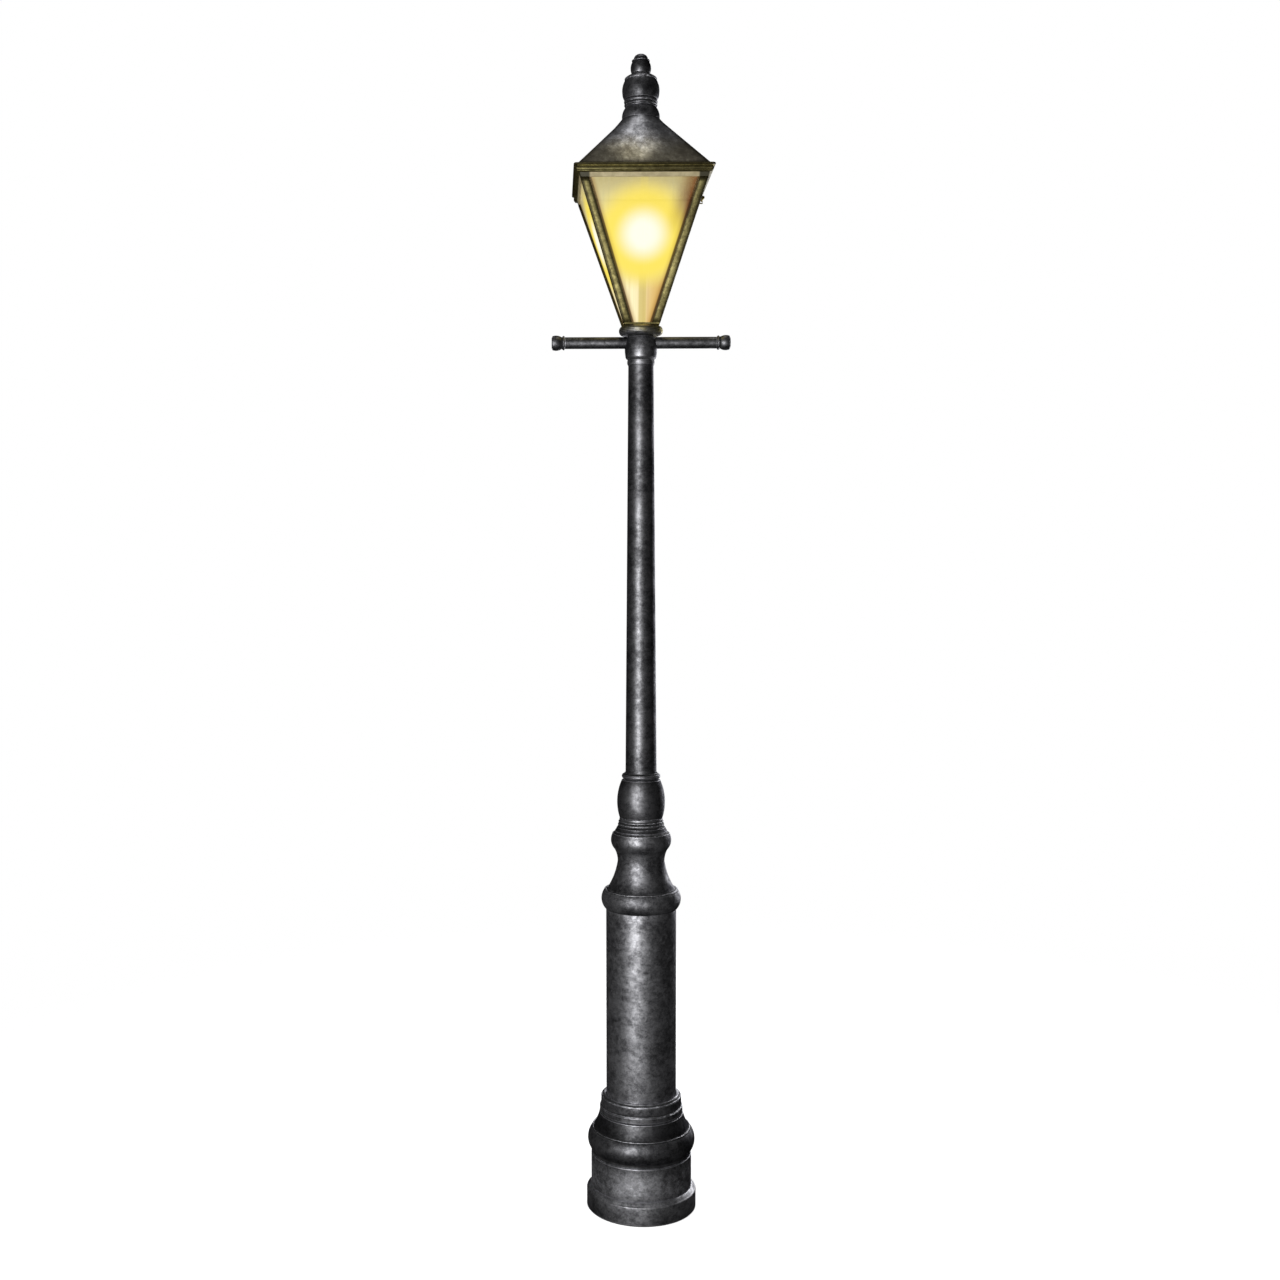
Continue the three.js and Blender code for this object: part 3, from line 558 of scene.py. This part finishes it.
def makeHead():
    piece = casting("HeadCasting", "head_casting", headOutline, edge=1.3)
    fit(piece, "post", "painted_iron", cupMetal, "head_casting")
    for side, label in ((1, "right"), (-1, "left")):
        bar, knob = f"ladder_bar_{label}", f"ladder_knob_{label}"
        low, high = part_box(knob)
        level, start = (low.z + high.z) / 2, min(abs(low.x), abs(high.x))
        along = Vector((side, 0, 0))
        piece = turned(f"LadderBar.{label}", barOutline, standing((0, 0, level), along), **barLook)
        fit(piece, "post", "painted_iron", iron, bar)
        spot = along * start + Vector((0, 0, level))
        piece = turned(f"LadderKnob.{label}", knobOutline, standing(spot, along), **knobLook)
        fit(piece, "post", "painted_iron", iron, knob)


makeHead()
print("head and ladder bars made")


# Lantern, in mm

lantern = {"leg": 28.0, "leaf": 5.0, "crown": 1.1, "barEdge": 1.8, "barLevels": 28, "glass": 4.0,
           "paneGrid": 49}
barShading = {"spread": 0.36, "dirtAndShade": -2.0, "rimShadow": -0.6}  # painted shade: dark edges, and a darker upper half where the rim's shadow falls
boltGuide = {"inside": 9.0, "outside": 6.0, "front": 18.0, "back": 42.0, "under": 1.0, "over": 7.5,
             "edge": 0.8}


# An outline (half width, height in mm) carried round a square whose corners are rounded.
def squareRun(name, outline, base, corner=6.0, edge=1.2, cornerSteps=8, rubbedAndShaded=0.7, tone=0.0):
    profile, wearAndPaintedLight = softened(bowed(outline), edge)
    least = profile[:, 0].min()
    radius = np.maximum(corner + profile[:, 0] - profile[:, 0].max(), 0.4)[None, :] * mm
    centre = profile[None, :, 0] * mm - radius
    sweep = np.linspace(0, pi / 2, cornerSteps + 1)
    turn = np.concatenate([sweep + quarter * pi / 2 for quarter in range(4)])[:, None]
    quarter = np.repeat(np.arange(4) * pi / 2 + pi / 4, cornerSteps + 1)[:, None]
    x = np.sign(np.cos(quarter)) * centre + np.cos(turn) * radius
    y = np.sign(np.sin(quarter)) * centre + np.sin(turn) * radius
    z = base + profile[None, :, 1] * mm + 0 * x
    onCorner = np.abs(np.sin(2 * turn)) * (profile[None, :, 0] > least + 4)  # not on the inner wall
    # Corner marks scaled above 0 are paler wear; scaled below 0 they are painted shade. The flat band value
    # is painted light and shade.
    values = {"wearAndPaintedLight": rubbedAndShaded * np.maximum(wearAndPaintedLight[None, :], onCorner), "tone": np.full((1, 1), tone)}
    return gridPiece(name, np.stack([x, y, z], axis=-1), closeU=True, closeV=True, values=values)


# A block from corner low to corner high, in mm. Its rows near the top and bottom draw in as a rounded edge.
def roundedBlock(name, low, high, edge):
    wide, deep = (high.x - low.x) / 2, (high.y - low.y) / 2
    corners = [np.array(p, float) for p in ((-wide, -deep), (wide, -deep), (wide, deep), (-wide, deep))]
    profile, wearAndPaintedLight = softened(corners, edge)
    shrink = np.array([[0.6, 0.18, 0, 0, 0.18, 0.6]]) * edge
    tall = high.z - low.z
    rise = np.array([[0, 0.3 * edge, edge, tall - edge, tall - 0.3 * edge, tall]])
    middle = (low + high) / 2
    x = profile[:, :1] - np.sign(profile[:, :1]) * shrink + middle.x
    y = profile[:, 1:] - np.sign(profile[:, 1:]) * shrink + middle.y
    points = np.stack([x, y, low.z + rise + 0 * x], axis=-1) * mm
    return gridPiece(name, points, closeU=True, capV=True, values={"wearAndPaintedLight": wearAndPaintedLight[:, None] * 0.8})


def faceSlope():  # how fast the lantern's faces lean out, from the base plate to the frame's top
    low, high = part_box("lantern_base_plate"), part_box("corner_bar_front_right")
    return (high[1].x - low[1].x) / (high[1].z - low[0].z)


# A bar is an angle with crowned faces, carried up its corner and moved outwards both ways with height.
def makeBars():
    slope = faceSlope()
    leg, leaf, crown = lantern["leg"], lantern["leaf"], lantern["crown"]
    corners = {"rear_right": (1, 1), "rear_left": (-1, 1), "front_left": (-1, -1), "front_right": (1, -1)}
    for label, (sx, sy) in corners.items():
        node = "corner_bar_" + label
        low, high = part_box(node)
        tall = high.z - low.z
        h = ((high.x if sx > 0 else -low.x) - slope * tall) / mm
        shape = [(h, h, crown), (h - leg, h, crown), (h - leg, h - leaf), (h - leaf, h - leaf),
                 (h - leaf, h - leg), (h, h - leg)]
        profile, wearAndPaintedLight = softened(bowed(shape), lantern["barEdge"], rubbedAndShaded=leg * barShading["spread"])
        levels = np.linspace(low.z, high.z, lantern["barLevels"])[None, :]
        lean = slope * (levels - low.z)
        x, y = profile[:, :1] * mm + lean, profile[:, 1:] * mm + lean
        quarter = np.arctan2(sy, sx) - pi / 4
        points = np.stack([x * cos(quarter) - y * sin(quarter), x * sin(quarter) + y * cos(quarter),
                           levels + 0 * x], axis=-1)
        # Painted shade along each bar's edges, and a painted shadow of the rim over its upper half.
        upper = np.clip((levels - low.z) / tall * 2 - 1, 0, 1)
        values = {"wearAndPaintedLight": barShading["dirtAndShade"] * np.abs(wearAndPaintedLight[:, None]), "tone": barShading["rimShadow"] * upper}
        piece = gridPiece("CornerBar." + label, points, closeU=True, capV=True, values=values)
        fit(piece, "post", "lantern_metal", bronze, node)


def makeFrame():
    low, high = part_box("top_frame")
    half = high.y / mm
    ring = [(half - 10, 0), (half - 5, 0), (half, 14), (half - 22, 14), (half - 22, 11.6), (half - 6, 11.6)]
    piece = squareRun("TopFrame", ring, low.z, corner=5.0, edge=0.8)
    fit(piece, "post", "lantern_metal", frameBrass, "top_frame")

    boltLow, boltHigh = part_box("canopy_bolt")
    middle, start = (boltLow.x + boltHigh.x) / 2 / mm, boltLow.y / mm
    guideLow = Vector((-low.x / mm - boltGuide["inside"], start + boltGuide["front"],
                       low.z / mm + boltGuide["under"]))
    guideHigh = Vector((middle + boltGuide["outside"], start + boltGuide["back"],
                        high.z / mm - boltGuide["over"]))
    piece = roundedBlock("BoltGuide", guideLow, guideHigh, boltGuide["edge"])
    fit(piece, "post", "lantern_metal", bronze)


# Two like sheets, a thickness apart, with a wall round their edges
def slab(label, front, inward, values):
    countU, countV = front.shape[:2]
    index = np.arange(countU * countV).reshape(countU, countV)
    back = front + inward
    quads = quadsOf(index).reshape(-1, 4)
    offset = countU * countV
    loop = np.concatenate([index[:-1, 0], index[-1, :-1], index[:0:-1, -1], index[0, :0:-1]])
    following = np.roll(loop, -1)
    wall = np.stack([loop, loop + offset, following + offset, following], axis=-1)
    faces = quads.tolist() + (quads[:, ::-1] + offset).tolist() + wall.tolist()
    both = {key: np.tile(np.broadcast_to(v, (countU, countV)).ravel(), 2) for key, v in values.items()}
    points = np.concatenate([front.reshape(-1, 3), back.reshape(-1, 3)])
    piece = newPiece("GlassPane." + label, points, faces, both)
    piece.data.polygons.foreach_set("use_smooth", np.zeros(len(faces), bool))
    return piece


# A pane is a flat sheet that widens and leans out with height; the four are turned from the front one.
def makePanes():
    slope = faceSlope()
    lean, thick, count = atan(slope), lantern["glass"] * mm, lantern["paneGrid"]
    low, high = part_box("glass_pane_front")
    side, up = np.linspace(-1, 1, count)[:, None], np.linspace(0, 1, count)[None, :]
    drop = (1 - up) * (high.z - low.z)
    wide = high.x - slope * drop
    x = side * wide
    skin = np.stack([x, low.y + slope * drop + 0 * x, high.z - drop + 0 * x], axis=-1)
    values = {"across": x, "side": side + 0 * up, "up": up + 0 * side, "inset": wide - np.abs(x)}
    for quarter, label in enumerate(("front", "right", "rear", "left")):
        piece = slab(label, skin, np.array([0, thick * cos(lean), thick * sin(lean)]), values)
        piece.data.transform(Matrix.Rotation(quarter * pi / 2, 4, "Z"))
        fit(piece, "post", "pane_glass", glass, "glass_pane_" + label)


makeBars()
makeFrame()
makePanes()
print("lantern glazed")


# Lamp

stemOutline = [(7, 0), (11, 0), (11, 34), (28, 34), (28, 38.5), (13.5, 42.5, -0.8), (11, 52), (11, 200),
               (14, 203, 0.5), (14, 209, 0.4), (11, 212, 0.5), (11, 242), (7, 242)]
holderOutline = [(0, 0), (15, 0), (24, 10), (24, 24), (22.4, 25.5), (22.4, 28), (24, 29.5), (24, 44.6),
                 (22.5, 46.6), (16.5, 46.6), (16.5, 15), (0, 15)]
capThreads = [(13.3 if i % 2 else 12.3, 6 + 2.4 * i) for i in range(8)]
capOutline = [(0, 0), (6, 0), (13, 5), *capThreads, (13.3, 26), (0, 26)]
bulbOutline = [(0, 0), (14, 0), (15, 7), (36, 45, -3.5), (36.2, 58, 0.8), (20, 96, 6.5), (0, 110.5, 3.4)]


def makeLamp():
    for name, node, outline, slot, material in (
            ("LampStem", "lamp_stem", stemOutline, "lantern_metal", bronze),
            ("Lampholder", "lampholder", holderOutline, "porcelain", porcelain),
            ("LampCap", "lamp_cap", capOutline, "steel", steel),
            ("LampBulb", "lamp_bulb", bulbOutline, "bulb_glass", opal)):
        fit(casting(name, node, outline, edge=0.8, facets=64), "post", slot, material, node)


makeLamp()
print("lamp fitted")


# Canopy, in mm

canopy = {"squareness": 16, "sheet": 2.2, "rodHole": 5.6, "around": 192, "rows": 40}
# The rim's corners and edges are painted dark, and the whole rim a little darker: painted shade.
rimLook = {"corner": 12.0, "edge": 1.4, "rubbedAndShaded": -1.6, "tone": -0.15}
# Painted shade gathers towards the corners, the eaves and the crown, and spares a stripe of each face, set a
# little to one side, as a painted highlight.
darkening = {"stripe": 0.16, "unshaded": 0.12, "fade": 0.6, "eaves": 0.6, "eavesRise": 0.35, "crown": 0.3,
        "most": 0.95, "tone": 0.6}
rimOutline = [(202, 0), (219, 0), (222, 3.0, 0.8), (223.5, 18.0, 4.0), (224.5, 20.4, -0.5), (231, 20.8),
              (231, 27, 2.0), (202, 28.6), (202, 25.6), (217, 25.6), (219, 13), (216, 3), (202, 3)]
reflectorOutline = [(40, 51), (80, 51), (190, 0), (212, 0), (212, 1.6), (190.5, 1.6), (81, 52.6), (40, 52.6)]
finialOutlines = {
    "vent_neck": [(6, 0), (64.5, 0), (64.5, 4), (53.6, 38.5, 3.4), (52, 40.6), (6, 40.6)],
    "vent_ring": [(6, 0), (53.0, 0), (53, 3.4), (55.5, 4, 0.2), (55.5, 9.5, 1.2), (53.5, 10.5), (53.5, 13),
                  (56, 14), (56, 22, 1.5), (53.5, 23.5), (53.5, 25.1), (6, 25.1)],
    "finial_urn": [(6, 0), (56.5, 0), (63, 20, 1.6), (54.5, 63.6, 3.9), (6, 63.6)],
    "finial_cap": [(6, 0), (52, 0), (55, 6, 1.6), (50, 10, 0.6), (37, 16, 1.4), (31, 19.5), (6, 19.5)],
    "finial_ball": [(0, 0), (30.5, 0), (30.5, 3.5), (32, 5), (28.5, 44, 4.6), (30.5, 45.5), (30, 48.5, 0.6),
                    (24.5, 51.5, 0.4), (0, 68, 7.6)],
}
finialLook = {"edge": 0.9, "facets": 96, "rubAndHighlight": 0.7}
# Painted shade: how much darker the finial's pieces are drawn.
finialPaintedLight = {"vent_neck": -0.05}
otherFinialPaintedLight = -0.3  # of the others


# Each line up the roof is straight, from a square with soft corners to the crown's circle:
# radius = half * (|cos|^n + |sin|^n)^(-1/n) at the eaves. Rings then close the crown in to the rod's hole.
def makeRoof():
    low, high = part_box("canopy_roof")
    half, crown = high.x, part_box("vent_neck")[1].x
    angle = np.linspace(0, 2 * pi, canopy["around"] + 1)[:-1, None]
    n = canopy["squareness"]
    square = half * (np.abs(np.cos(angle)) ** n + np.abs(np.sin(angle)) ** n) ** (-1 / n)
    up = np.linspace(0, 1, canopy["rows"])[None, :]
    radius = square + (crown - square) * up
    z = low.z + (high.z - low.z) * up + 0 * angle
    hole = canopy["rodHole"] * mm
    closing = np.array([[0.985, 0.9, 0.5, 0]])
    radius = np.hstack([radius, hole + (crown - hole) * closing + 0 * angle])
    z = np.hstack([z, high.z + 0 * closing + 0 * angle])
    points = np.stack([np.cos(angle) * radius, np.sin(angle) * radius, z], axis=-1)

    across = (angle + pi / 4) % (pi / 2) - pi / 4
    up = np.hstack([up, 1 + 0 * closing])
    # Painted shade: dark towards the hips, the eaves and the crown; the stripe between stays lit as a painted
    # highlight.
    corners = np.clip((np.abs(across + darkening["stripe"]) - darkening["unshaded"]) / darkening["fade"], 0, 1)
    eaves = darkening["eaves"] * np.clip(1 - up / darkening["eavesRise"], 0, 1)
    paintedShade = np.clip(corners + eaves + darkening["crown"] * up ** 4, 0, darkening["most"])
    values = {"wearAndPaintedLight": -paintedShade, "tone": np.full((1, 1), darkening["tone"])}
    piece = gridPiece("CanopyRoof", points, closeU=True, values=values)
    wall = piece.modifiers.new("wall", "SOLIDIFY")
    wall.thickness, wall.offset = canopy["sheet"] * mm, -1
    fit(piece, "canopy", "lantern_metal", roofMetal, "canopy_roof")


def makeCanopy():
    piece = squareRun("CanopyRim", rimOutline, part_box("canopy_rim")[0].z, **rimLook)
    fit(piece, "canopy", "lantern_metal", bronze, "canopy_rim")
    piece = squareRun("Reflector", reflectorOutline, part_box("reflector")[0].z, corner=14, edge=0.7)
    fit(piece, "canopy", "enamel", enamel, "reflector")
    makeRoof()
    for node, outline in finialOutlines.items():
        tone = [(0, finialPaintedLight.get(node, otherFinialPaintedLight))]
        piece = casting(pieceName(node), node, outline, tone=tone, **finialLook)
        fit(piece, "canopy", "painted_iron", iron, node)


makeCanopy()
print("canopy made")


# Pedestal casing and its service door, in mm; the opening reaches so many degrees each side of the rear

# The casing and door are painted paler, as painted light.
pedestal = {"wall": 6.0, "doorWall": 5.0, "doorGap": 1.5, "opening": 30.0, "around": 144, "edge": 1.2,
            "tone": 0.25}


# A stretch of a cylinder, (-radius sin a, radius cos a, z), given a wall inwards and softened edges
def curvedPanel(name, radius, angles, levels, wall, keep=None, wrap=False):
    a, z = angles[:, None], levels[None, :]
    points = np.stack([-np.sin(a) * radius + 0 * z, np.cos(a) * radius + 0 * z, z + 0 * a], axis=-1)
    countU, countV = points.shape[:2]
    index = np.arange(countU * countV).reshape(countU, countV)
    if wrap:
        index = np.vstack([index, index[:1]])
    quads = quadsOf(index) if keep is None else quadsOf(index)[keep]
    values = {"tone": np.full(countU * countV, pedestal["tone"])}
    piece = newPiece(name, points.reshape(-1, 3), quads.reshape(-1, 4).tolist(), values)
    shape = bmesh.new()
    shape.from_mesh(piece.data)
    loose = [v for v in shape.verts if not v.link_faces]
    bmesh.ops.delete(shape, geom=loose, context="VERTS")
    shape.to_mesh(piece.data)
    shape.free()
    solid = piece.modifiers.new("wall", "SOLIDIFY")
    solid.thickness, solid.offset, solid.use_even_offset = wall * mm, -1, True
    soft = piece.modifiers.new("edge", "BEVEL")
    soft.width, soft.segments = pedestal["edge"] * mm, 2
    soft.limit_method, soft.angle_limit = "ANGLE", radians(40)
    return piece


def makeCasing():
    low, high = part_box("pedestal_casing")
    doorLow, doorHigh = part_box("service_door")
    gap, opening = pedestal["doorGap"] * mm, radians(pedestal["opening"])
    sill, lintel = doorLow.z - gap, doorHigh.z + gap
    angles = np.linspace(0, 2 * pi, pedestal["around"] + 1)[:-1] + opening
    levels = np.unique(np.concatenate([np.linspace(low.z, sill, 12), np.linspace(sill, lintel, 9),
                                       np.linspace(lintel, high.z, 6)]))
    middleA = angles + pi / pedestal["around"]
    middleZ = (levels[:-1] + levels[1:]) / 2
    atRear = np.abs((middleA + pi) % (2 * pi) - pi) < opening
    atDoor = (middleZ > sill) & (middleZ < lintel)
    keep = ~(atRear[:, None] & atDoor[None, :])
    piece = curvedPanel("PedestalCasing", high.x, angles, levels, pedestal["wall"], keep, wrap=True)
    fit(piece, "post", "painted_iron", iron, "pedestal_casing")

    half = np.arcsin(doorHigh.x / high.x)
    angles, levels = np.linspace(-half, half, 33), np.linspace(doorLow.z, doorHigh.z, 12)
    piece = curvedPanel("ServiceDoor", high.x, angles, levels, pedestal["doorWall"])
    fit(piece, "door", "painted_iron", iron, "service_door")


makeCasing()
print("pedestal made")


# Hardware that keeps its own shape

def paintNodes(material, *names):
    for name in names:
        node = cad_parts[name]
        node.data.materials.clear()
        node.data.materials.append(material)


paintNodes(steel, "flange_plate", "head_set_screw_1", "head_set_screw_2", "head_set_screw_3", "finial_rod",
           "finial_nut", "hinge_pin", "door_lock", "backboard_strap_lower", "backboard_strap_upper",
           "earth_stud")
paintNodes(bronze, "canopy_bolt", "lantern_base_plate", "hinge_frame_leaf", "hinge_canopy_leaf", "bolt_eye")
paintNodes(iron, "door_hinge_block_lower", "door_hinge_block_upper", "door_hinge_strap_lower",
           "door_hinge_strap_upper")
paintNodes(plastic, "cutout_base", "fuse_carrier")
paintNodes(plywood, "backboard")


# Floor, lights and camera, in metres and degrees

studio = {"floor": 4.4, "clear": 0.5, "sunk": 0.0005, "ambient": 0.008, "floorGlow": 0.8}
view = {"lens": 42.19, "shift": 0.0682, "x": -0.306, "y": -5.208, "up": 0.5712, "down": 3.08, "roll": 0.20}
lights = {  # place, width, height, power
    "KeyLight": ((-1.75, -4.25, 1.85), 1.7, 3.2, 200.0),
    "EdgeLight": ((3.0, 3.3, 2.35), 0.5, 4.2, 80.0),
    "BackLight": ((1.5, 4.9, 2.2), 2.0, 3.8, 120.0),
    "OverheadLight": ((0.0, 0.0, 7.0), 1.4, 1.4, 16.0),
}


def softLight(name, spot, aim, wide, tall, power):
    lamp = bpy.data.lights.new(name, "AREA")
    lamp.shape, lamp.size, lamp.size_y, lamp.energy = "RECTANGLE", wide, tall, power
    light = bpy.data.objects.new(name, lamp)
    bpy.context.scene.collection.objects.link(light)
    light.location = spot
    light.rotation_euler = (Vector(aim) - Vector(spot)).to_track_quat("-Z", "Y").to_euler()


def makeStudio():
    angle = np.linspace(0, 2 * pi, 97)[:-1, None]
    radius = np.array([[studio["floor"], studio["floor"] * 0.5, 0.0]])
    level = 0 * angle * radius - studio["sunk"]
    disc = np.stack([np.cos(angle) * radius, np.sin(angle) * radius, level], axis=-1)
    floor = closePoles(gridPiece("Floor", disc, closeU=True))
    paint = Paint("floor", roughness=0.9, specular_ior_level=0.1)
    position = paint.node("ShaderNodeTexCoord", output="Object")
    far = paint.node("ShaderNodeVectorMath", {"operation": "LENGTH"}, {0: position}, "Value")
    paint.set(base_color=(0.9, 0.9, 0.9, 1), emission_color=(1, 1, 1, 1),
              emission_strength=studio["floorGlow"],
              alpha=far.ramp(studio["clear"], studio["floor"] * 0.95, 1.0, 0.0))
    floor.data.materials.append(paint.material)
    floor.visible_glossy = floor.visible_diffuse = False  # its white doesn't shine back on the dark metal

    world = bpy.data.worlds.new("soft white")
    world.use_nodes = True
    tree = world.node_tree
    background = tree.nodes["Background"]
    rays = tree.nodes.new("ShaderNodeLightPath")
    level = tree.nodes.new("ShaderNodeMapRange")
    tree.links.new(rays.outputs["Is Camera Ray"], level.inputs[0])
    level.inputs[3].default_value, level.inputs[4].default_value = studio["ambient"], 1.0
    tree.links.new(level.outputs[0], background.inputs["Strength"])
    background.inputs["Color"].default_value = (1, 1, 1, 1)
    bpy.context.scene.world = world
    bpy.context.scene.view_settings.view_transform = "Standard"

    for name, (spot, wide, tall, power) in lights.items():
        softLight(name, spot, (0, 0, min(spot[2], height * 0.5)), wide, tall, power)


def makeCamera():
    lens = bpy.data.cameras.new("camera")
    lens.sensor_width, lens.lens, lens.shift_x = 36.0, view["lens"], view["shift"]
    camera = bpy.data.objects.new("camera", lens)
    bpy.context.scene.collection.objects.link(camera)
    camera.location = (view["x"], view["y"], height * view["up"])
    camera.rotation_euler = (pi / 2 - radians(view["down"]), radians(view["roll"]), 0)
    bpy.context.scene.camera = camera


makeStudio()
makeCamera()
print("studio ready")
